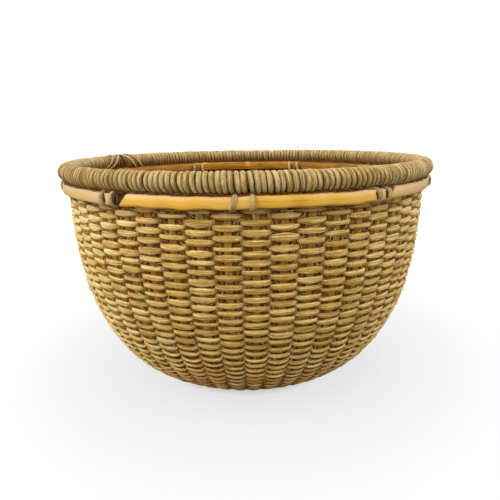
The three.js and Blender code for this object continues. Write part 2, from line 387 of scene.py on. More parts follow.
WEAVE_CANE = cane("weave_cane", ["8e6626", "b2893c", "d0ac5a", "e8d094"], "7a4804",
                  tint_share=0.75, streak_share=2.8, fine_share=1.8, specular=0.35)
STAKE_CANE = cane("stake_cane", ["7c5012", "aa7a2a", "c4983e", "dabc7c"], "66380a",
                  fibre=(0.02, 1.0), specular=0.15)
HOOP_CANE = cane("hoop_cane", ["8a5602", "d69c2c", "e2b24e", "d4b88e"], "7a5228",
                 tint_share=0.9, streak_share=0.9, fine_share=0.55, roughness=(0.42, 0.58), bump=0.3,
                 fibre=(0.012, 0.8), specular=0.3, patch_share=0.4)
WRAP_CANE = cane("wrap_cane", ["6e4c16", "a0803e", "bca266", "dcc8a0"], "563404",
                 streak_share=2.0, fine_share=1.6, fibre=(0.12, 1.5), bump=0.8)
LASH_CANE = cane("lash_cane", ["7c5c28", "a98b54", "c2a66e", "dfc998"], "4a2a0a",
                 streak_share=2.2, fine_share=1.6)
CORE_FIBRE = cane("core_fibre", ["5e3c14", "7e5620", "98692c", "b4843e"], "4c2e0c", specular=0.15)

# Weave of the wall: rows of strand over and under the stakes. The strand's height in shares of the pitch, its
# thickness, its swing out of the middle surface, its droop and its roundness go with the lengths in UP_WALL
WEAVE_START_RADIUS = 52.5
ROW_PITCH_LOW = 2.45
ROW_PITCH_HIGH = 2.95
LAST_ROW_PAST = 0.5
UP_WALL = (35.0, 84.0, 98.0, 115.0)
STRAND_HEIGHT = (0.9, 1.02, 1.3, 1.36)
STRAND_THICKNESS = (1.5, 2.1, 2.05, 2.05)
STRAND_SWING = (1.0, 1.65, 2.15, 2.15)
STRAND_DROOP = (2.2, 2.3, 0.5, 0.25)
STRAND_ROUND = (1.0, 1.0, 0.0, 0.0)
STRAND_NECK = 0.68
STRAND_ROUGH = 0.055
NECK_POWER = 1.2
CRISP_TOP = 0.66
CRISP_FROM = 8.0
CRISP_OVER = 7.5
CRISP_SLOPE = 2.6
GROUND_CLEARANCE = 0.25
LEAST_RISE = 0.05
BEAD_SAMPLES = 14

# How far rows and beads differ from each other. Here and below, a wander is its size and its number of knots
ROW_WANDER = (0.25, 9)
ROW_HEIGHT = 0.05
ROW_TINT = 0.04
ROW_TINT_WANDER = (0.07, 12)
BEAD_UP = 0.16
BEAD_THICKNESS = 0.07
BEAD_SWING = 0.08
BEAD_HEIGHT = 0.15
BEAD_TINT = 0.07

# Looks of the weave: tint runs from dark to pale, wear and painted shade from clean to dark. The weave is
# painted darker low on the bowl, as painted shade where little light reaches from below. A pair is the plain
# value and what the full painted shade low down adds
WEAVE_TINT = 0.43
ROUND_PALER = 0.15
# Painted shade low on the bowl, where little light reaches from below: how much darker, over what length, and
# how much darker colour
LOW_SHADE_DARKER = 0.42
LOW_SHADE_LENGTH = 58
LOW_SHADE_MIX = 0.4
FACE_WEAR = 0.08
# Painted shade on the faces of the beads turned towards the stakes
BACK_SHADE = (0.8, 1.4)
# Painted shade where the strands cross between stakes and dive behind them
CROSSING_SHADE = (0.12, 0.9)
# Where the wall is painted paler for the side lamps' light, it also gets less darker colour
LIT_SIDE_LESS_DARK = 1.5
# Painted shade on the rows right under the hoop
TUCK_SHADE = 0.45
TUCK_LENGTH = 2.8

# Sections of the weaving strand and of the wound strand: ovals with flattened faces
EIGHTHS = (np.arange(8) + 0.5) * math.pi / 4
OVAL = np.stack([np.cos(EIGHTHS), np.sin(EIGHTHS)], -1)
FLAT_OVAL = powered(OVAL, 0.6)
ROUND_OVAL = powered(OVAL, 0.85)
# Painted shade on the lower edge of the strand, for the gap under each bead of the rounder rows
LOWER_EDGE_SHADE = held(-FLAT_OVAL[:, 0]) ** 4

# Stretches of the wall painted paler where the side lamps light it most, as painted light: angle from the
# front, and how much. On stakes and matted fibre it starts at a height
LIT_SIDES = ((-1.15, 0.6), (1.15, 0.32))
LIT_SIDE_WIDTH = 0.5
LIT_SIDE_FROM_Z = 25
LIT_SIDE_OVER_Z = 25
MATTED_LIT_PALER = 3.0


def lit_paler(angle):
    """How much paler the wall is painted at an angle from the front, as painted light where the side lamps
    fall.
    """
    pale = 0.0
    for at, much in LIT_SIDES:
        pale = pale + much * hump(wrapped(angle - at), LIT_SIDE_WIDTH)
    return pale


def lit_paler_behind(points, z):
    """How much paler stakes and matted fibre are painted where the side lamps fall: not at all low down,
    fully from the middle up.
    """
    high = held((z - LIT_SIDE_FROM_Z) / LIT_SIDE_OVER_Z)
    return MATTED_LIT_PALER * lit_paler(np.arctan2(points[:, 0], -points[:, 1])) ** 2 * high


def weave_rows():
    """Lengths of the rows up the wall, closer together low down, and of the edges of the bands."""
    start = np.interp(WEAVE_START_RADIUS, BOWL_LINE[:-1, 0], BOWL_LENGTH[:-1])
    rows, at = [], start + ROW_PITCH_LOW / 2
    while at < WALL_LENGTH + ROW_PITCH_HIGH / 2:
        rows.append(at)
        at += ROW_PITCH_LOW + (ROW_PITCH_HIGH - ROW_PITCH_LOW) * (at - start) / (WALL_LENGTH - start)
    rows = np.array(rows)
    rows = rows[0] + (rows - rows[0]) * (WALL_LENGTH + LAST_ROW_PAST - rows[0]) / (rows[-1] - rows[0])
    edges = start + (WALL_LENGTH - start) * (np.arange(BAND_COUNT + 1) / BAND_COUNT) ** BAND_GROWTH
    edges[-1] = rows[-1] + 1
    return rows, edges


def squared(wave, crisp):
    """Quick crossing between two stakes, and a bulge where the strand bends round each."""
    flat = np.clip(CRISP_SLOPE * wave, -1, 1)
    return crisp * eased(flat) + (1 - crisp) * wave


def weave_row(strands, row, length, pitch):
    """One closed row, outside every other stake, each bead a little different."""
    samples = STAKE_COUNT * BEAD_SAMPLES
    angle = around(samples)
    place = angle / STEP - 0.5
    wave = np.cos(math.pi * (place + row))
    bead_length = bowl_at(length)[0] * STEP
    swing = squared(wave, CRISP_TOP * held((bead_length - CRISP_FROM) / CRISP_OVER))
    full, thick, depth, droop, round_share = (np.interp(length, UP_WALL, values) for values in (
        STRAND_HEIGHT, STRAND_THICKNESS, STRAND_SWING, STRAND_DROOP, STRAND_ROUND))
    section = FLAT_OVAL + (ROUND_OVAL - FLAT_OVAL) * round_share

    def each(spread):
        return between(rng.normal(0, spread, STAKE_COUNT), place)

    up = length - droop * swing + wander(samples, *ROW_WANDER) + each(BEAD_UP)
    radius, z = bowl_at(up)
    rise_r, rise_z = bowl_rise(up)
    thickness = thick * (1 + each(BEAD_THICKNESS))
    above_ground = (z - thickness / 2 - GROUND_CLEARANCE) / np.maximum(rise_r, LEAST_RISE)
    shift = np.minimum(depth * swing * (1 + each(BEAD_SWING)), above_ground)
    path = polar(radius + rise_z * shift, angle, z - rise_r * shift)
    shape = STRAND_NECK + (1 - STRAND_NECK) * np.abs(wave) ** NECK_POWER
    height = full * pitch * shape * (1 + each(BEAD_HEIGHT) + ROW_HEIGHT * rng.normal())
    # Painted light: paler where the side lamps fall
    lit_side = lit_paler(angle)
    # Painted shade low on the bowl, where little light reaches from below
    low_shade = hump(length, LOW_SHADE_LENGTH)
    # Painted shade on the rows right under the hoop
    tucked = hump(WALL_LENGTH - length, TUCK_LENGTH)
    tint = WEAVE_TINT + ROUND_PALER * round_share - LOW_SHADE_DARKER * low_shade + lit_side * (1 - low_shade)
    tint = tint + wander(samples, *ROW_TINT_WANDER) + each(BEAD_TINT) + ROW_TINT * rng.normal()
    # Painted shade on each bead's faces turned towards the stakes, more of it low on the bowl
    back = (BACK_SHADE[0] + BACK_SHADE[1] * low_shade) * swing[:, None] * FLAT_OVAL[:, 1]
    # Painted shade where the strand crosses between stakes, more of it low on the bowl
    crossing = (CROSSING_SHADE[0] + CROSSING_SHADE[1] * low_shade) * (1 - swing * swing)[:, None] ** 2
    wear = (held(FACE_WEAR - back) + crossing) * (1 - LIT_SIDE_LESS_DARK * lit_side)[:, None]
    # Painted shade low on the bowl, on the lower edges of the rounder rows and on the rows under the hoop
    wear = wear + LOW_SHADE_MIX * low_shade + round_share * LOWER_EDGE_SHADE + TUCK_SHADE * tucked
    strands.add(path, polar(rise_r, angle, rise_z), height, thickness, held(tint), wear=held(wear),
                section=section, closed=True, rough=STRAND_ROUGH)


ROWS, BAND_EDGES = weave_rows()
LAST_ROW = len(ROWS) - 1
for band in range(BAND_COUNT):
    strands = Strands()
    for row, length in enumerate(ROWS):
        if BAND_EDGES[band] <= length < BAND_EDGES[band + 1]:
            weave_row(strands, row, length, ROWS[min(row + 1, LAST_ROW)] - ROWS[min(row, LAST_ROW - 1)])
    if band == 0:
        first_band = strands
        continue
    replaced = [f"outer_weave_{band + 1}", f"inner_weave_{band + 1}"]
    strands.build(f"weave_{band + 1}", WEAVE_CANE, replaced, "weave_cane")

# Short rows that fill the base between the plaited square and the round edge. Sizes are width and thickness
SQUARE_HALF = BASE_RADIUS * math.sin(STEP * (STRIPS_EACH_WAY - 1) / 2)
FILL_SIDES = 4
FILL_ROWS = 6
FILL_FIRST = 3.4
FILL_PITCH = 2.6
FILL_RADIUS = BASE_RADIUS + 3.0
FILL_INSET = 1.0
FILL_SAMPLE = 0.9
FILL_SWING = 1.15
FILL_LIFT = 0.1
FILL_STRAY = 0.03
FILL_ACROSS = np.array([[0.0, 1.0, 0.0]])
FILL_SIZE = (2.4, 1.2)
FILL_TINT = 0.3
FILL_TINT_SPREAD = 0.15
FILL_WEAR = 0.15
# Painted shade where the short rows cross between strips
FILL_CROSSING_SHADE = 0.35

# Matted fibre: a ring at the base's edge, a lining between the stakes, and cords on both sides of each stake.
# Their darkness is partly the fibre's own and partly painted shade of the gaps in the weave
MATTED_SIDES = 6
MATTED_PAST = 6
MATTED_SAMPLE = 1.3
MATTED_TINT_SPREAD = 0.33
MATTED_WEAR_SPREAD = 0.35
# Matted fibre gets less darker colour where it is painted paler for the side lamps' light
MATTED_LIT_LESS_DARK = 1.2
LINING_START = 2.0
LINING_EDGE = 1.2
LINING_THICKNESS = 0.7
LINING_TINT = 0.15
LINING_WEAR_AND_SHADE = 0.95
LINING_ROUGH = 0.03
EDGE_SAMPLES = 3 * STAKE_COUNT
EDGE_RADIUS = 51.5
EDGE_WIDTH = 7.0
EDGE_Z = 2.55
EDGE_WEAR_AND_SHADE = 0.8
CORD_ASIDE = 4.3
CORD_ASIDE_WANDER = 0.5
CORD_OUT_WANDER = 0.35
CORD_WIDTH = 1.9
CORD_WIDTH_WANDER = 0.2
CORD_THICKNESS = 1.5
CORD_TINT = 0.3
CORD_WEAR_AND_SHADE = 0.7
CORD_ROUGH = 0.12


def turned(points, turn):
    c, s = math.cos(turn), math.sin(turn)
    return points @ np.array([[c, s, 0], [-s, c, 0], [0, 0, 1]])


def base_lift(distance):
    """Height of the strips' middle as they leave the plaited square for the wall."""
    share = held((distance - SQUARE_HALF) / (BASE_RADIUS - SQUARE_HALF))
    return BASE_MIDDLE_Z + (WALL_START_Z - BASE_MIDDLE_Z) * share


for side in range(FILL_SIDES):
    side_turn = PLAIT_TURN + side * math.pi / 2
    for m in range(FILL_ROWS):
        y = SQUARE_HALF + FILL_FIRST + m * FILL_PITCH
        reach = math.sqrt(FILL_RADIUS ** 2 - y * y) - FILL_INSET
        x = np.linspace(-reach, reach, int(reach * 2 / FILL_SAMPLE))
        place = np.arcsin(np.clip(x / FILL_RADIUS, -1, 1)) / STEP
        wave = np.cos(math.pi * (place + m + side))
        z = base_lift(y) + FILL_SWING * eased(wave) + FILL_LIFT
        stray = FILL_STRAY * rng.normal(size=len(x)).cumsum()
        path = turned(np.stack([x, -y + stray, z], -1), side_turn)
        tint = held(FILL_TINT + FILL_TINT_SPREAD * rng.normal())
        first_band.add(path, turned(FILL_ACROSS, side_turn), *FILL_SIZE, tint,
                       wear=FILL_WEAR + FILL_CROSSING_SHADE * (1 - wave * wave))
edge_angle = around(EDGE_SAMPLES)
first_band.add(polar(EDGE_RADIUS, edge_angle, EDGE_Z), polar(1.0, edge_angle, 0.0), EDGE_WIDTH,
               LINING_THICKNESS, LINING_TINT, wear=EDGE_WEAR_AND_SHADE, sides=MATTED_SIDES, closed=True,
               rough=LINING_ROUGH)
first_band.build("weave_1", WEAVE_CANE, ["outer_weave_1", "inner_weave_1"], "weave_cane")

# Stakes: flat strips, plaited across the base and standing in the wall up to the roll
STAKE_TOP = BOWL_LENGTH[-1] - 3.5
STAKE_WIDTH = 4.7
STAKE_WIDTH_WANDER = (0.03, 30)
STAKE_THICKNESS = 1.3
STAKE_SAMPLE = 1.6
STAKE_SWAY = 0.3
STAKE_SWAY_KNOTS = 9
STAKE_TINT = 0.5
STAKE_TINT_SPREAD = 0.12
STAKE_TINT_WANDER = (0.12, 14)
PLAIT_LIFT = 0.78
PLAIT_FILL = 0.95
PLAIT_SAMPLE = 0.45
PLAIT_FADE = 0.5
PLAIT_WIDE_PAST = 2
PLAIT_WIDE_OVER = 6
BEND_REACH = 9
BEND_ROUNDS = 10
# Painted shade on the stake tops, in the dark gap between the hoop and the roll
UNDER_ROLL_OVER = 4
UNDER_ROLL_SHADE = 0.7
# Painted shade on the stakes low on the bowl, mostly on their outer faces
STAKE_LOW_SHADE = 0.9
STAKE_LOW_SHADE_Z = 55
STAKE_LOW_SHADE_OVER = 10

# Section of a stake, its first four points outside, and on these points the wear and the share of the painted
# shade low on the bowl
STAKE_SECTION = np.array([
    [1, 0.55], [0.8, 1], [-0.8, 1], [-1, 0.55], [-1, -0.55], [-0.8, -1], [0.8, -1], [1, -0.55],
])
STAKE_WEAR = np.array([0.7, 0.3, 0.3, 0.7, 0.7, 0.3, 0.3, 0.7])
STAKE_LOW_SHADE_SHARE = np.array([1, 1, 1, 1, 0.3, 0.3, 0.3, 0.3])


def stake(strands, j, layer, turn):
    """Strip number j from the middle, over every other strip that crosses it, and the fibre beside it."""
    angle = j * STEP
    lengths = np.arange(STAKE_TOP, 0, -STAKE_SAMPLE)
    radius, z = bowl_at(lengths)
    sway_at = np.linspace(0, len(lengths), STAKE_SWAY_KNOTS)
    sway = np.interp(np.arange(len(lengths)), sway_at, rng.normal(0, STAKE_SWAY, STAKE_SWAY_KNOTS))
    wall = polar(radius, angle + sway / WALL_TOP_RADIUS, z)
    wall_across = polar(0 * radius + 1, angle + math.pi / 2, 0 * radius)
    half = BASE_RADIUS * math.cos(angle)
    y = np.linspace(-half, half, int(half / PLAIT_SAMPLE))
    place = np.arcsin(np.clip(y / BASE_RADIUS, -1, 1)) / STEP
    wave = np.cos(math.pi * (place + j + layer))
    fade = held((STRIPS_EACH_WAY / 2 - np.abs(place)) / PLAIT_FADE)
    lift = PLAIT_LIFT * fade * eased(wave)
    base = np.stack([BASE_RADIUS * math.sin(angle) + 0 * y, y, base_lift(np.abs(y)) + lift], -1)
    base_across = np.broadcast_to([1.0, 0.0, 0.0], base.shape)
    mirror = np.array([1.0, -1.0, 1.0])
    path = np.concatenate([wall, base[1:-1], (wall * mirror)[::-1]])
    across = np.concatenate([wall_across, base_across[1:-1], (wall_across * mirror)[::-1]])
    reach = np.hypot(path[:, 0], path[:, 1])
    bend = (np.abs(reach - BASE_RADIUS) < BEND_REACH)[:, None]
    for _ in range(BEND_ROUNDS):
        for values in (path, across):
            mean = (np.roll(values, 1, 0) + 2 * values + np.roll(values, -1, 0)) / 4
            flat = np.where(bend, mean, values)
            values[:, :2] = flat[:, :2]
    n = len(path)
    height = path[:, 2]
    placed = turned(path, turn)
    # Painted light: stakes paler, with less darker colour, where the side lamps fall
    pale = lit_paler_behind(placed, height)
    tint = STAKE_TINT + pale + wander(n, *STAKE_TINT_WANDER) + STAKE_TINT_SPREAD * rng.normal()
    spacing = 2 * BASE_RADIUS * math.sin(STEP / 2) * math.cos(angle)
    in_base = held((BASE_RADIUS + PLAIT_WIDE_PAST - reach) / PLAIT_WIDE_OVER)
    width = STAKE_WIDTH + (PLAIT_FILL * spacing - STAKE_WIDTH) * in_base
    width = width * (1 + wander(n, *STAKE_WIDTH_WANDER))
    # Painted shade on the stake tops under the roll
    under_roll = np.clip((height - HOOP_BOTTOM_Z) / UNDER_ROLL_OVER, 0, UNDER_ROLL_SHADE)
    low_shade = STAKE_LOW_SHADE * np.exp(-(height / STAKE_LOW_SHADE_Z) ** 4)
    low_shade = low_shade * held((reach - BASE_RADIUS) / STAKE_LOW_SHADE_OVER)
    wear = STAKE_WEAR * (1 - pale)[:, None] + under_roll[:, None] + low_shade[:, None] * STAKE_LOW_SHADE_SHARE
    strands.add(placed, turned(across, turn), width, STAKE_THICKNESS, held(tint), wear=held(wear),
                section=STAKE_SECTION)
    lengths = np.arange(LINING_START, WALL_LENGTH + MATTED_PAST, MATTED_SAMPLE)
    radius, z = bowl_at(lengths)
    rise_r, rise_z = bowl_rise(lengths)
    count = len(lengths)
    knots = count // 3
    for end in (1.0, -1.0):
        flip = np.array([1.0, end, 1.0])

        def matted(at, shift, width, thickness, tint, wear, rough):
            """Matted fibre up the wall at an angle from the middle strip, paler where it is bleached."""
            points = turned(polar(radius + rise_z * shift, at, z - rise_r * shift) * flip, turn)
            aside = turned(polar(np.ones(count), at + math.pi / 2, 0.0) * flip, turn)
            pale = lit_paler_behind(points, z)
            tint = held(tint + pale + MATTED_TINT_SPREAD * rng.normal(size=count))
            wear = held(wear - MATTED_LIT_LESS_DARK * pale + MATTED_WEAR_SPREAD * rng.normal(size=count))
            strands.add(points, aside, width, thickness, tint, wear=wear, sides=MATTED_SIDES, rough=rough)

        matted(angle + end * STEP / 2, 0.0, STEP * radius - 2 * LINING_EDGE, LINING_THICKNESS, LINING_TINT,
               LINING_WEAR_AND_SHADE, LINING_ROUGH)
        for side in (-1, 1):
            aside = side * CORD_ASIDE + wander(count, CORD_ASIDE_WANDER, knots)
            out = wander(count, CORD_OUT_WANDER, knots)
            width = CORD_WIDTH * (1 + wander(count, CORD_WIDTH_WANDER, knots))
            matted(angle + aside / radius, out, width, CORD_THICKNESS, CORD_TINT, CORD_WEAR_AND_SHADE, CORD_ROUGH)


for i in range(STRIPS_EACH_WAY):
    for layer in (0, 1):
        strip = Strands()
        stake(strip, i - (STRIPS_EACH_WAY - 1) // 2, layer, PLAIT_TURN + layer * math.pi / 2)
        number = i + 1 + layer * STRIPS_EACH_WAY
        strip.build(f"strip_{number:02d}", STAKE_CANE, [f"stake_{number:02d}"], "stake_cane")

# Loose fibres in the gaps of the weave, and a few paler ends that stand out of it
FIBRE_START = 8.0
FIBRE_PAST = 4
HAIR_POINTS = 6
HAIR_SIDES = 4
HAIR_ALONG = np.linspace(-0.5, 0.5, HAIR_POINTS)
HAIR_TAPER = 1 - 0.55 * np.abs(np.linspace(-1, 1, HAIR_POINTS)) ** 3
HAIR_LENGTH = (4, 11)
HAIR_TURN = 0.6
HAIR_TINT_SPREAD = 0.25
HAIR_WEAR = 0.35
HAIR_WEAR_SPREAD = 0.6

# Fibres above and below the outer hoop: for each ring its radii, its heights, how many and how dark they are.
# Their darkness is partly the fibres' own and partly painted shade of the gaps beside the hoop
RIM_HAIR_WIDTH = 0.4
RIM_HAIR_LENGTH = (4, 12)
RIM_HAIR_TINT = 0.9
RIM_HAIR_TINT_SPREAD = 0.35
RIM_HAIR_WEAR_SPREAD = 0.4
RIM_HAIR_RINGS = (
    ((132.5, 137.6), (152.6, 156.2), 1300, 1.1),
    ((132.4, 134.4), (143.6, 146.6), 700, 0.6),
)


def fuzz(strands, count, near, far, tint, width, curl, spread):
    """Short bent fibres on the wall, between two distances out from its middle surface."""
    for _ in range(count):
        reach = rng.uniform(*HAIR_LENGTH)
        middle = rng.uniform(FIBRE_START, WALL_LENGTH)
        angle = (rng.integers(STAKE_COUNT) + rng.normal(0, spread)) * STEP
        heading = rng.normal(0, HAIR_TURN) + rng.choice([0, math.pi])
        bearing = heading + curl * rng.normal() * HAIR_ALONG
        up = np.clip(middle + reach * HAIR_ALONG * np.cos(bearing), FIBRE_START, WALL_LENGTH + FIBRE_PAST)
        radius, z = bowl_at(up)
        rise_r, rise_z = bowl_rise(up)
        out = bent(HAIR_ALONG + 0.5, rng.uniform(near, far, 3))
        out = out * np.interp(up, UP_WALL, STRAND_SWING) / STRAND_SWING[-1]
        swerve = angle + reach * HAIR_ALONG * np.sin(bearing) / radius
        path = polar(radius + rise_z * out, swerve, z - rise_r * out)
        hair_tint = held(tint + HAIR_TINT_SPREAD * rng.normal())
        wear = held(HAIR_WEAR + HAIR_WEAR_SPREAD * rng.normal())
        strands.add(path, polar(rise_z, swerve, -rise_r), width * HAIR_TAPER, width, hair_tint, wear=wear,
                    sides=HAIR_SIDES, cell=0)


fibres = Strands()
fuzz(fibres, count=4200, near=0.7, far=2.0, tint=0.45, width=0.38, curl=2.0, spread=0.5)
fuzz(fibres, count=70, near=1.6, far=3.5, tint=0.95, width=0.32, curl=1.0, spread=0.5)
fibres.build("fibres_gaps", WEAVE_CANE, [], "weave_cane")
fibres = Strands()
fuzz(fibres, count=3400, near=1.0, far=2.5, tint=0.38, width=0.38, curl=1.4, spread=0.1)
fibres.build("fibres_edges", WEAVE_CANE, [], "weave_cane")
fibres = Strands()
fuzz(fibres, count=1200, near=-2.2, far=-0.8, tint=0.4, width=0.38, curl=2.0, spread=0.3)
for radii, heights, count, dark in RIM_HAIR_RINGS:
    for _ in range(count):
        angle = rng.uniform(0, FULL_TURN) + HAIR_ALONG * rng.uniform(*RIM_HAIR_LENGTH) / WALL_TOP_RADIUS
        radius, z = (bent(HAIR_ALONG + 0.5, rng.uniform(*span, 3)) for span in (radii, heights))
        tint = held(RIM_HAIR_TINT - dark + RIM_HAIR_TINT_SPREAD * rng.normal())
        wear = held(dark + RIM_HAIR_WEAR_SPREAD * rng.normal())
        fibres.add(polar(radius, angle, z), ZENITH, RIM_HAIR_WIDTH * HAIR_TAPER, RIM_HAIR_WIDTH, tint,
                   wear=wear, sides=HAIR_SIDES, cell=0)
fibres.build("fibres_rim", WEAVE_CANE, [], "weave_cane")


# Rim roll: fibre core, wound strand, and the crossed tie where it closes
def lashing_angle(k):
    return math.trunc(k * STAKE_COUNT / LASHING_COUNT) * STEP


JOINT_ANGLE = lashing_angle(JOINT_LASHING)
ROLL_RUN = FULL_TURN * ROLL_RADIUS
ROLL_LIFT = 0.3
ROLL_FLATTEN = 0.95


def wound(turn, run, reach, hand):
    """Points wound round the roll either way, with a run along it from the joint."""
    round_roll = -math.pi / 2 + hand * turn * FULL_TURN
    angle = JOINT_ANGLE + run / ROLL_RADIUS
    z = ROLL_Z + ROLL_LIFT + ROLL_FLATTEN * reach * np.sin(round_roll)
    path = polar(ROLL_RADIUS + reach * np.cos(round_roll), angle, z)
    return path, polar(1.0, angle + math.pi / 2, 0.0), round_roll


# Fibre core of the roll, and the filler between the hoops, kept dark as painted shade in the gaps between the
# hoops and the roll
CORE_SAMPLES = 260
CORE_HEIGHT = 8.0
CORE_HEIGHT_WANDER = (0.3, 60)
CORE_DEPTH = 8.2
CORE_TINT = 0.5
CORE_TINT_WANDER = (0.25, 90)
CORE_WEAR = 0.3
CORE_SIDES = 12
CORE_ROUGH = 0.03
FILLER_SAMPLES = 520
FILLER_WANDER = (0.12, 200)
FILLER_Z = 150.8
FILLER_SIZE = (14.6, 1.1)
FILLER_TINT = 0.4
FILLER_TINT_WANDER = (0.25, 200)
FILLER_SHADE = 0.85
FILLER_SECTION = np.array([[1, 1], [-1, 1], [-1, -1], [1, -1]])

core = Strands()
height = CORE_HEIGHT + wander(CORE_SAMPLES, *CORE_HEIGHT_WANDER)
tint = held(CORE_TINT + wander(CORE_SAMPLES, *CORE_TINT_WANDER))
core.add(polar(ROLL_RADIUS, around(CORE_SAMPLES), ROLL_Z), ZENITH, height, CORE_DEPTH, tint, wear=CORE_WEAR,
         sides=CORE_SIDES, closed=True, rough=CORE_ROUGH)
radius = WALL_TOP_RADIUS + wander(FILLER_SAMPLES, *FILLER_WANDER)
tint = held(FILLER_TINT + wander(FILLER_SAMPLES, *FILLER_TINT_WANDER))
core.add(polar(radius, around(FILLER_SAMPLES), FILLER_Z), ZENITH, *FILLER_SIZE, tint, wear=FILLER_SHADE,
         section=FILLER_SECTION, closed=True)
core.build("rim_fibre", CORE_FIBRE, ["rim_core"], "core_fibre")

# Wound strand: sizes, how far turns differ, and painted light and shade round the roll, paler at the front
# and darker on the left and right, as angle, width and how much paler
WRAP_TURNS = 252
WRAP_STEPS = 20
WRAP_WIDTH = 3.1
WRAP_THICKNESS = 2.7
WRAP_SLACK = 0.085
WRAP_LEAN = 0.14
WRAP_BULK = 0.05
WRAP_BULK_OUT = 0.6
WRAP_SHADE = 0.07
WRAP_ROUGH = 0.03
WRAP_TINT = 0.51
WRAP_LIGHT_AND_SHADE = ((0.0, 0.55, 0.05), (-0.9, 0.4, -0.3), (0.6, 0.4, -0.12))
WRAP_COLUMNS = 16

# Painted shade on the wound strand: on its sides, in the grooves between turns, less so at the back, on the
# roll's shaded inner lower side, at the joint and just past it
GROOVE_SHADE = 0.42
GROOVE_SHADE_LESS_BEHIND = 0.25
BACK_FROM = 1.9
SHADED_AT = 1.2 * math.pi
SHADED_WEAR = 0.55
JOINT_SHADE = 0.8
JOINED_WIDTH = 6
PAST_JOINT = 12
PAST_WIDTH = 10
PAST_SHARE = 0.6

wrap = Strands()
turns = np.arange(WRAP_TURNS * WRAP_STEPS + 1) / WRAP_STEPS
pitch = (ROLL_RUN - WRAP_WIDTH) / WRAP_TURNS
slack, lean, bulk, shade = (rng.normal(0, spread, WRAP_TURNS + 2) for spread in (
    WRAP_SLACK, WRAP_LEAN, WRAP_BULK, WRAP_SHADE))
run = WRAP_WIDTH / 2 + turns * pitch + between(slack, turns) * pitch
run = run + between(lean, turns) * np.cos(FULL_TURN * turns)
reach = ROLL_HALF - WRAP_THICKNESS / 2 + WRAP_BULK_OUT * between(bulk, turns + 0.5) * WRAP_THICKNESS
strand_sides = np.abs(ROUND_OVAL[:, 0]) ** 4
for first in range(WRAP_TURNS):
    part = slice(first * WRAP_STEPS, (first + 1) * WRAP_STEPS + 1)
    here, here_run = turns[part], run[part]
    path, along_roll, round_roll = wound(here, here_run, reach[part], -1)
    girth = 1 + between(bulk, here)
    place = wrapped(JOINT_ANGLE + here_run / ROLL_RADIUS)
    # Painted light and shade round the roll
    light_and_shade = sum(much * hump(place - at, width) for at, width, much in WRAP_LIGHT_AND_SHADE)
    tint = held(WRAP_TINT + light_and_shade + between(shade, here + 0.5))
    shaded = held(np.cos(round_roll - SHADED_AT)) ** 2
    # Painted shade of the hollow where the roll closes, at the joint and just past it
    joined = hump(np.minimum(here_run, ROLL_RUN - here_run), JOINED_WIDTH)
    joined = np.maximum(joined, PAST_SHARE * hump(here_run - PAST_JOINT, PAST_WIDTH))
    groove_shade = GROOVE_SHADE - GROOVE_SHADE_LESS_BEHIND * (np.abs(place) > BACK_FROM)
    roll_shade = groove_shade[:, None] * strand_sides + (SHADED_WEAR * shaded + JOINT_SHADE * joined)[:, None]
    wrap.add(path, along_roll, WRAP_WIDTH * girth, WRAP_THICKNESS * girth, tint, wear=held(roll_shade),
             section=ROUND_OVAL, rough=WRAP_ROUGH)
wrap.build("rim_strand", WRAP_CANE, ["rim_wrap"], "wrap_cane", columns=WRAP_COLUMNS)

# Crossed tie: two strands that lean away from the joint on either side, in a rounded zigzag
TIE_SIZE = (1.9, 0.9)
TIE_TURNS = 2
TIE_STEPS = 28
TIE_LEAN = 8.0
TIE_SHARP = 0.97
TIE_ZIGZAG = 1.32
TIE_FIRST = 5.0
TIE_ADVANCE = 8.0
TIE_CLEAR = 0.55
TIE_WANDER = (0.08, 12)
TIE_SIDES = 10
TIE_TINT = 0.62
TIE_TINT_WANDER = (0.15, 9)

for side, name in ((-1, "left"), (1, "right")):
    tie = Strands()
    here = np.arange(TIE_TURNS * TIE_STEPS + 1) / TIE_STEPS
    zigzag = np.arcsin(TIE_SHARP * np.sin(-math.pi / 2 + here * FULL_TURN)) / TIE_ZIGZAG
    run = side * (TIE_FIRST + here * TIE_ADVANCE - TIE_LEAN * zigzag)
    path, along_roll, _ = wound(here, run, ROLL_HALF + TIE_CLEAR + wander(len(here), *TIE_WANDER), 1)
    tint = held(TIE_TINT + wander(len(here), *TIE_TINT_WANDER))
    tie.add(path, along_roll, *TIE_SIZE, tint, sides=TIE_SIDES)
    tie.build(f"rim_tie_{name}", LASH_CANE, [f"joint_tie_{name}"], "lash_cane")

# Hoops: split poles with a flat face against the stakes, and a slanted joint where lengths meet. They stand a
# little higher and are a little taller than the solids
HOOP_RAISE = 0.7
HOOP_TALLER = 0.7
HOOP_MIDDLE_Z = (HOOP_BOTTOM_Z + HOOP_TOP_Z) / 2 + HOOP_RAISE
INNER_HOOP_LIFT = 0.8
LEFT_JOINT = -SCARF_FACET * STEP
RIGHT_JOINT = lashing_angle(1) + 11.2 / OUTER_HOOP[1]
INNER_JOINT = SCARF_FACET * STEP
SCARF_START = 4.0
SCARF_END = 1.5
BREAK_HALF = 0.7
BREAK_LIFT = 0.9
BREAK_LIFT_OVER = 70

# Samples in a radian, powers that square the section's ends, flat face and crown, and the slanted cuts
HOOP_SAMPLES = 67
HOOP_SIDES = 16
HOOP_END_POWER = 0.5
HOOP_FLAT_POWER = 0.2
HOOP_CROWN_POWER = 0.42
HOOP_SLANT = 0.9
HOOP_SLANT_OVER = 8
HOOP_RADIUS_WANDER = (0.15, 23)
HOOP_Z_WANDER = (0.22, 17)
HOOP_HEIGHT_WANDER = (0.02, 31)

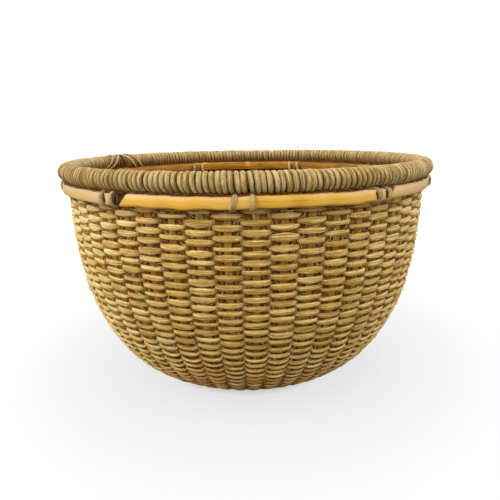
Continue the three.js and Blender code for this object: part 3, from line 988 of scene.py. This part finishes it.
# Looks of a hoop: paler beside lashings, at a knot at the back, at both sides where it is partly weathered
# and partly painted with the sheen of grazing light, and along its top as painted light from above; with
# painted light and shade across the front as angle, width and how much paler; and darker pith at the cut end.
# The inner hoop's lower shade is painted shade of the basket's inside
OUTER_HOOP_SHADE = 0.54
# The inner hoop's lower value is painted shade of the basket's inside
INNER_HOOP_SHADE = -0.24
HOOP_TINT_WANDER = (0.08, 16)
# Painted light and shade across the front: paler left of the middle, darker just right of it
HOOP_LIGHT_AND_SHADE = ((-0.3, 0.15, 0.1), (0.1, 0.3, -0.12))
# Painted light: the hoop's top paler, as if lit from above
HOOP_TOP_LIT_PALER = 0.24
HOOP_END_WEAR = 0.35
HOOP_END_OVER = 1.5
LASHED_WIDTH = 0.1
LASHED_PALER = 0.1
KNOT_WIDTH = 0.02
KNOT_PALER = 0.35
# Paler stretches before the left joint and on the right side: partly weathering, partly painted sheen of
# grazing light
SHEEN_AND_WEATHERED_BEFORE = 130
SHEEN_AND_WEATHERED_ANGLE = 1.0
SHEEN_AND_WEATHERED_WIDTH = 0.35
SHEEN_AND_WEATHERED_PALER = 0.42
WEATHERED_WEAR = 0.22
PITH_PAST = 0.6
PITH_HEIGHT = 0.74
PITH_DEPTH = 0.7
PITH_TINT = 0.1
PITH_WEAR_OUTSIDE = 1.0
PITH_WEAR_INSIDE = 0.3


def hoop_length(strands, flat, crown, start, end, middle_z, lift, shade):
    """One length of split pole, with a slanted start and an end cut back to show its grain."""
    outside = 1 if crown > flat else -1
    depth = abs(crown - flat)
    n = int(HOOP_SAMPLES * (end - start))
    angle = np.linspace(start, end, n)
    along = (angle - start) * flat
    left = along[-1] - along
    radius = (flat + crown) / 2 + wander(n, *HOOP_RADIUS_WANDER)
    path = polar(radius, angle, middle_z + wander(n, *HOOP_Z_WANDER) + lift * hump(along, BREAK_LIFT_OVER))
    turn = around(HOOP_SIDES)
    tall = powered(np.cos(turn), HOOP_END_POWER)
    deep = np.sin(turn) * outside
    deep = np.where(deep < 0, -np.abs(deep) ** HOOP_FLAT_POWER, np.abs(deep) ** HOOP_CROWN_POWER) * outside
    section = np.stack([tall, deep], -1)
    slanted = HOOP_SLANT * held(1 - along / HOOP_SLANT_OVER)
    cut_back = -HOOP_SLANT * outside * held(1 - left / HOOP_SLANT_OVER)
    height = (HOOP_TOP_Z - HOOP_BOTTOM_Z + HOOP_TALLER) * (1 + wander(n, *HOOP_HEIGHT_WANDER))
    lashed = np.array([lashing_angle(k - LASHING_COUNT // 2) for k in range(LASHING_COUNT)])
    apart = np.abs(wrapped(angle[:, None] - lashed)).min(1)
    knot = hump(angle - math.pi, KNOT_WIDTH) if outside < 0 else 0.0
    before_joint = (LEFT_JOINT - angle) % FULL_TURN * flat
    # Partly weathering, partly painted sheen of grazing light
    sheen_and_weathered = hump(before_joint, SHEEN_AND_WEATHERED_BEFORE) + hump(angle - SHEEN_AND_WEATHERED_ANGLE, SHEEN_AND_WEATHERED_WIDTH)
    tint = shade + wander(n, *HOOP_TINT_WANDER) + LASHED_PALER * hump(apart, LASHED_WIDTH)
    tint = tint + KNOT_PALER * knot + SHEEN_AND_WEATHERED_PALER * sheen_and_weathered
    # Painted light and shade across the front
    for at, width, much in HOOP_LIGHT_AND_SHADE:
        tint = tint + much * hump(angle - at, width)
    # Painted light along the top of the hoop
    tint = held(tint[:, None] + HOOP_TOP_LIT_PALER * tall)
    wear = HOOP_END_WEAR * held(1 - np.minimum(along, left) / HOOP_END_OVER) + WEATHERED_WEAR * sheen_and_weathered
    strands.add(path, ZENITH, height, depth, tint, wear=wear, section=section,
                shear=np.stack([slanted, cut_back], -1))
    pith = path[-2:] + PITH_PAST * (path[-1] - path[-2])
    pith_wear = PITH_WEAR_OUTSIDE if outside > 0 else PITH_WEAR_INSIDE
    strands.add(pith, ZENITH, PITH_HEIGHT * height[-1], PITH_DEPTH * depth, PITH_TINT, wear=pith_wear,
                section=section, shear=np.array([[0.0, cut_back[-1]]] * 2))


def hoop(name, flat, crown, spans, middle_z, shade, node):
    strands = Strands()
    for start, end, lift in spans:
        hoop_length(strands, flat, crown, start, end, middle_z, lift, shade)
    strands.build(name, HOOP_CANE, [node], "hoop_cane")


outer, inner = OUTER_HOOP[1], INNER_HOOP[1]
hoop("hoop_outside", *OUTER_HOOP, (
    (LEFT_JOINT + SCARF_START / outer, RIGHT_JOINT - BREAK_HALF / outer, 0.0),
    (RIGHT_JOINT + BREAK_HALF / outer, LEFT_JOINT + FULL_TURN - SCARF_END / outer, BREAK_LIFT),
), HOOP_MIDDLE_Z, OUTER_HOOP_SHADE, "outer_hoop")
hoop("hoop_inside", *INNER_HOOP, (
    (INNER_JOINT + SCARF_START / inner, INNER_JOINT + FULL_TURN - SCARF_END / inner, 0.0),
), HOOP_MIDDLE_Z + INNER_HOOP_LIFT, INNER_HOOP_SHADE, "inner_hoop")

# Lashings: two turns of strand round both hoops, between two stakes, with darker turns under them, partly
# real fibre and partly painted shade beside each strand. Shifts move a lashing's outer or inner face along
# the rim, and one lashing has a further dark turn on its right
FRONT_LASHING = 5
FRONT_SLANT = {-1: 1.2, 1: 0.1}
LASH_WIDTH = 3.1
LASH_WIDTH_WANDER = (0.05, 7)
LASH_THICKNESS = 2.2
LASH_SAMPLES = 44
LASH_RADIUS = 131.5
LASH_REACH = 7.35
LASH_HALF_HEIGHT = 4.15
LASH_POWER = 0.62
LASH_SLANT = (0.2, 0.6)
LASH_SPREAD = 4.0
LASH_OPEN = {FRONT_LASHING: 1.5}
LASH_OPEN_ELSE = 0.2
LASH_OPEN_INSIDE = 0.3
LASH_SHIFT = {FRONT_LASHING: 1.3, FRONT_LASHING + 1: 4.6}
LASH_SHIFT_INSIDE = {1: 7.0, LASHING_COUNT: -3.5}
LASH_TINT = 0.42
LASH_TINT_WANDER = (0.15, 8)
LASHED_OVER = (FRONT_LASHING - 1, 1)
LASHED_OVER_ASIDE = 4.6
# Darker turns beside each strand: partly real fibre, partly painted shade
UNDER_ASIDE = 1.9
UNDER_WANDER = (0.4, 6)
UNDER_SIZE = (1.8, 1.2)
UNDER_DEPTH = 0.9
UNDER_TINT = 0.1
UNDER_WEAR_AND_SHADE = 1.0


def lashing(number, centre):
    """Both turns of one lashing; the one right in front has no dark turns under it."""
    strands = Strands()
    n = LASH_SAMPLES
    turn = around(n)
    out = powered(np.cos(turn), LASH_POWER)
    up = powered(np.sin(turn), LASH_POWER)
    outside, inside = held(out), held(-out)
    radius = LASH_RADIUS + LASH_REACH * out
    z = HOOP_MIDDLE_Z + LASH_HALF_HEIGHT * up
    for side in (-1, 1):
        slant = rng.normal(*LASH_SLANT) if number != FRONT_LASHING else FRONT_SLANT[side]
        spread = LASH_SPREAD + LASH_OPEN.get(number, LASH_OPEN_ELSE) * outside + LASH_OPEN_INSIDE * inside
        aside = side * spread + slant * up * np.abs(out) + LASH_SHIFT.get(number, 0) * np.sqrt(outside)
        aside = aside + LASH_SHIFT_INSIDE.get(number, 0) * np.sqrt(inside)
        angle = centre + aside / radius
        width = LASH_WIDTH * (1 + wander(n, *LASH_WIDTH_WANDER))
        tint = held(LASH_TINT + wander(n, *LASH_TINT_WANDER))
        path = polar(radius, angle, z)
        strands.add(path, polar(1.0, angle + math.pi / 2, 0.0), width, LASH_THICKNESS, tint, closed=True)
        under = [UNDER_ASIDE] if centre else []
        if (number, side) == LASHED_OVER:
            under.append(LASHED_OVER_ASIDE)
        for gap in under:
            beside = angle - math.copysign(gap, centre) / radius + wander(n, *UNDER_WANDER) / radius
            path = polar(radius - UNDER_DEPTH * out, beside, z - UNDER_DEPTH * up)
            strands.add(path, polar(1.0, beside + math.pi / 2, 0.0), *UNDER_SIZE, UNDER_TINT, wear=UNDER_WEAR_AND_SHADE,
                        closed=True)
    strands.build(f"lash_{number}", LASH_CANE, [f"lashing_{number}"], "lash_cane")


for k in range(LASHING_COUNT):
    lashing(k + 1, lashing_angle(k - (LASHING_COUNT - 1) // 2))

# Stage: white floor and surroundings, soft light from both sides, stronger from the left. The floor's ranges
# are two distances from the middle in metres, and how white the camera sees it there; right under the basket
# the floor is a painted shadow, dark for the camera. The surroundings are weaker for rays that light the
# object than for rays that show them
WHITE = (1, 1, 1, 1)
FLOOR_HALF = 12.0
FLOOR_COLOUR = (0.15, 0.15, 0.15, 1)
FLOOR_ROUGHNESS = 0.9
FLOOR_FADE = (0.1, 0.55, 0.72, 1.0)
FLOOR_SHADOW_UNDER = (0.045, 0.075, 0.03, 1.0)
WORLD_STRENGTH = (0.0, 1.0, 0.61, 1.0)


def range_node(tree, values):
    """Maps one range onto another, given as both ends of the first and both ends of the second."""
    made = tree.nodes.new("ShaderNodeMapRange")
    for socket, value in zip(("From Min", "From Max", "To Min", "To Max"), values):
        made.inputs[socket].default_value = value
    return made


def math_node(tree, operation):
    made = tree.nodes.new("ShaderNodeMath")
    made.operation = operation
    return made


def white_floor():
    """Pale floor that shows the shadow round the object and goes over into the white surroundings, with a
    painted shadow right under the basket.
    """
    material = bpy.data.materials.new("floor_white")
    material.use_nodes = True
    tree = material.node_tree
    shader = tree.nodes["Principled BSDF"]
    shader.inputs["Base Color"].default_value = FLOOR_COLOUR
    shader.inputs["Roughness"].default_value = FLOOR_ROUGHNESS
    shader.inputs["Specular IOR Level"].default_value = 0.0
    shader.inputs["Emission Color"].default_value = WHITE
    rays = tree.nodes.new("ShaderNodeLightPath")
    place = tree.nodes.new("ShaderNodeTexCoord")
    far = tree.nodes.new("ShaderNodeVectorMath")
    far.operation = "LENGTH"
    fade = range_node(tree, FLOOR_FADE)
    under = range_node(tree, FLOOR_SHADOW_UNDER)
    lit = math_node(tree, "MULTIPLY")
    level = math_node(tree, "MULTIPLY")
    tree.links.new(place.outputs["Object"], far.inputs[0])
    tree.links.new(far.outputs["Value"], fade.inputs["Value"])
    tree.links.new(rays.outputs["Is Camera Ray"], level.inputs[0])
    tree.links.new(far.outputs["Value"], under.inputs["Value"])
    tree.links.new(fade.outputs["Result"], lit.inputs[0])
    tree.links.new(under.outputs["Result"], lit.inputs[1])
    tree.links.new(lit.outputs[0], level.inputs[1])
    tree.links.new(level.outputs[0], shader.inputs["Emission Strength"])
    return material


floor_mesh = bpy.data.meshes.new("floor")
floor_corners = [(x * FLOOR_HALF, y * FLOOR_HALF, 0) for x, y in ((-1, -1), (1, -1), (1, 1), (-1, 1))]
floor_mesh.from_pydata(floor_corners, [], [(0, 1, 2, 3)])
floor_mesh.materials.append(white_floor())
floor = bpy.data.objects.new("floor", floor_mesh)
bpy.context.scene.collection.objects.link(floor)

world = bpy.data.worlds.new("studio")
bpy.context.scene.world = world
world.use_nodes = True
tree = world.node_tree
backdrop = tree.nodes["Background"]
backdrop.inputs["Color"].default_value = WHITE
rays = tree.nodes.new("ShaderNodeLightPath")
seen = math_node(tree, "MAXIMUM")
also = math_node(tree, "MAXIMUM")
strength = range_node(tree, WORLD_STRENGTH)
tree.links.new(rays.outputs["Is Camera Ray"], seen.inputs[0])
tree.links.new(rays.outputs["Is Glossy Ray"], seen.inputs[1])
tree.links.new(seen.outputs[0], also.inputs[0])
tree.links.new(rays.outputs["Is Transmission Ray"], also.inputs[1])
tree.links.new(also.outputs[0], strength.inputs["Value"])
tree.links.new(strength.outputs["Result"], backdrop.inputs["Strength"])

# Softboxes aim at a height above the floor's middle. Angles are in degrees, lengths in metres, power in watts
AIM_Z = 0.09


def softbox(name, azimuth, elevation, distance, size, power):
    light = bpy.data.lights.new(name, "AREA")
    light.shape = "SQUARE"
    light.size = size
    light.energy = power
    lamp = bpy.data.objects.new(name, light)
    a, e = math.radians(azimuth), math.radians(elevation)
    back = Vector((math.sin(a) * math.cos(e), -math.cos(a) * math.cos(e), math.sin(e)))
    lamp.location = back * distance + Vector((0, 0, AIM_Z))
    lamp.rotation_mode = "QUATERNION"
    lamp.rotation_quaternion = back.to_track_quat("Z", "Y")
    bpy.context.scene.collection.objects.link(lamp)


softbox("softbox_left", azimuth=-60, elevation=22, distance=1.3, size=1.5, power=18.8)
softbox("softbox_front", azimuth=5, elevation=36, distance=1.4, size=1.0, power=3.4)
softbox("softbox_right", azimuth=75, elevation=14, distance=1.4, size=1.2, power=12.5)
softbox("softbox_top", azimuth=10, elevation=80, distance=1.5, size=1.0, power=6)
softbox("softbox_back", azimuth=178, elevation=30, distance=1.4, size=1.2, power=8)

# Camera at the photographed angle: distances in metres, sensor and lens in millimetres, angles in radians
CAMERA_YAW = math.radians(1.1)
CAMERA_DISTANCE = 0.392
CAMERA_Z = 0.1879
CAMERA_PITCH = 0.243
CAMERA_ROLL = -0.0158
CAMERA_SENSOR = 36.0
CAMERA_LENS = 34.956
CAMERA_SHIFT = 0.0065
CAMERA_NEAR = 0.01
camera_data = bpy.data.cameras.new("camera")
camera_data.sensor_width = CAMERA_SENSOR
camera_data.lens = CAMERA_LENS
camera_data.shift_x = CAMERA_SHIFT
camera_data.clip_start = CAMERA_NEAR
camera = bpy.data.objects.new("camera", camera_data)
bpy.context.scene.collection.objects.link(camera)
stand = Matrix.Rotation(CAMERA_YAW, 4, "Z") @ Matrix.Translation((0, -CAMERA_DISTANCE, CAMERA_Z))
tilt = Matrix.Rotation(math.pi / 2 - CAMERA_PITCH, 4, "X") @ Matrix.Rotation(CAMERA_ROLL, 4, "Z")
camera.matrix_world = stand @ tilt
bpy.context.scene.camera = camera

bpy.context.scene.view_settings.view_transform = "Standard"
